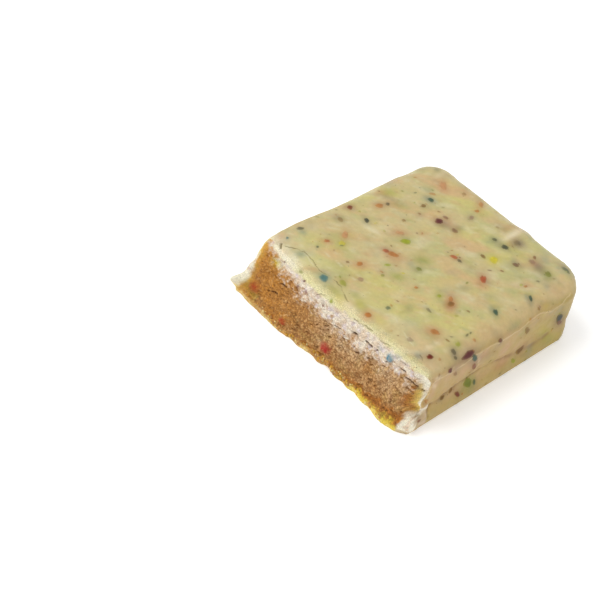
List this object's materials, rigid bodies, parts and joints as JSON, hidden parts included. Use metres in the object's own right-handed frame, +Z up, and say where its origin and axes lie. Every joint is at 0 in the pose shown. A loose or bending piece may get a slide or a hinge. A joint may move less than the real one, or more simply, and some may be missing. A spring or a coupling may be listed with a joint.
{
  "type": "protein bar",
  "caption": "Half of an iced protein bar, broken across the middle: pale confetti icing on the top, walls, far end and base, crumbly dough at the break.",
  "frame": {"origin": "on the surface that the bar lies on, under the middle of its bounding box", "axes": "+X across the bar, +Y along it from the broken face to the far end, +Z up through the icing on top"},
  "size_m": [0.0432, 0.0466, 0.014],
  "materials": {
    "icing": "pale cream-yellow icing, slightly glossy, with small flakes of confetti in many colours",
    "dough": "dense, crumbly caramel-tan dough, dull, with pale icing smeared over its upper part"
  },
  "bodies": {
    "root": {"icing": "icing", "dough": "dough"}
  },
  "joints": []
}
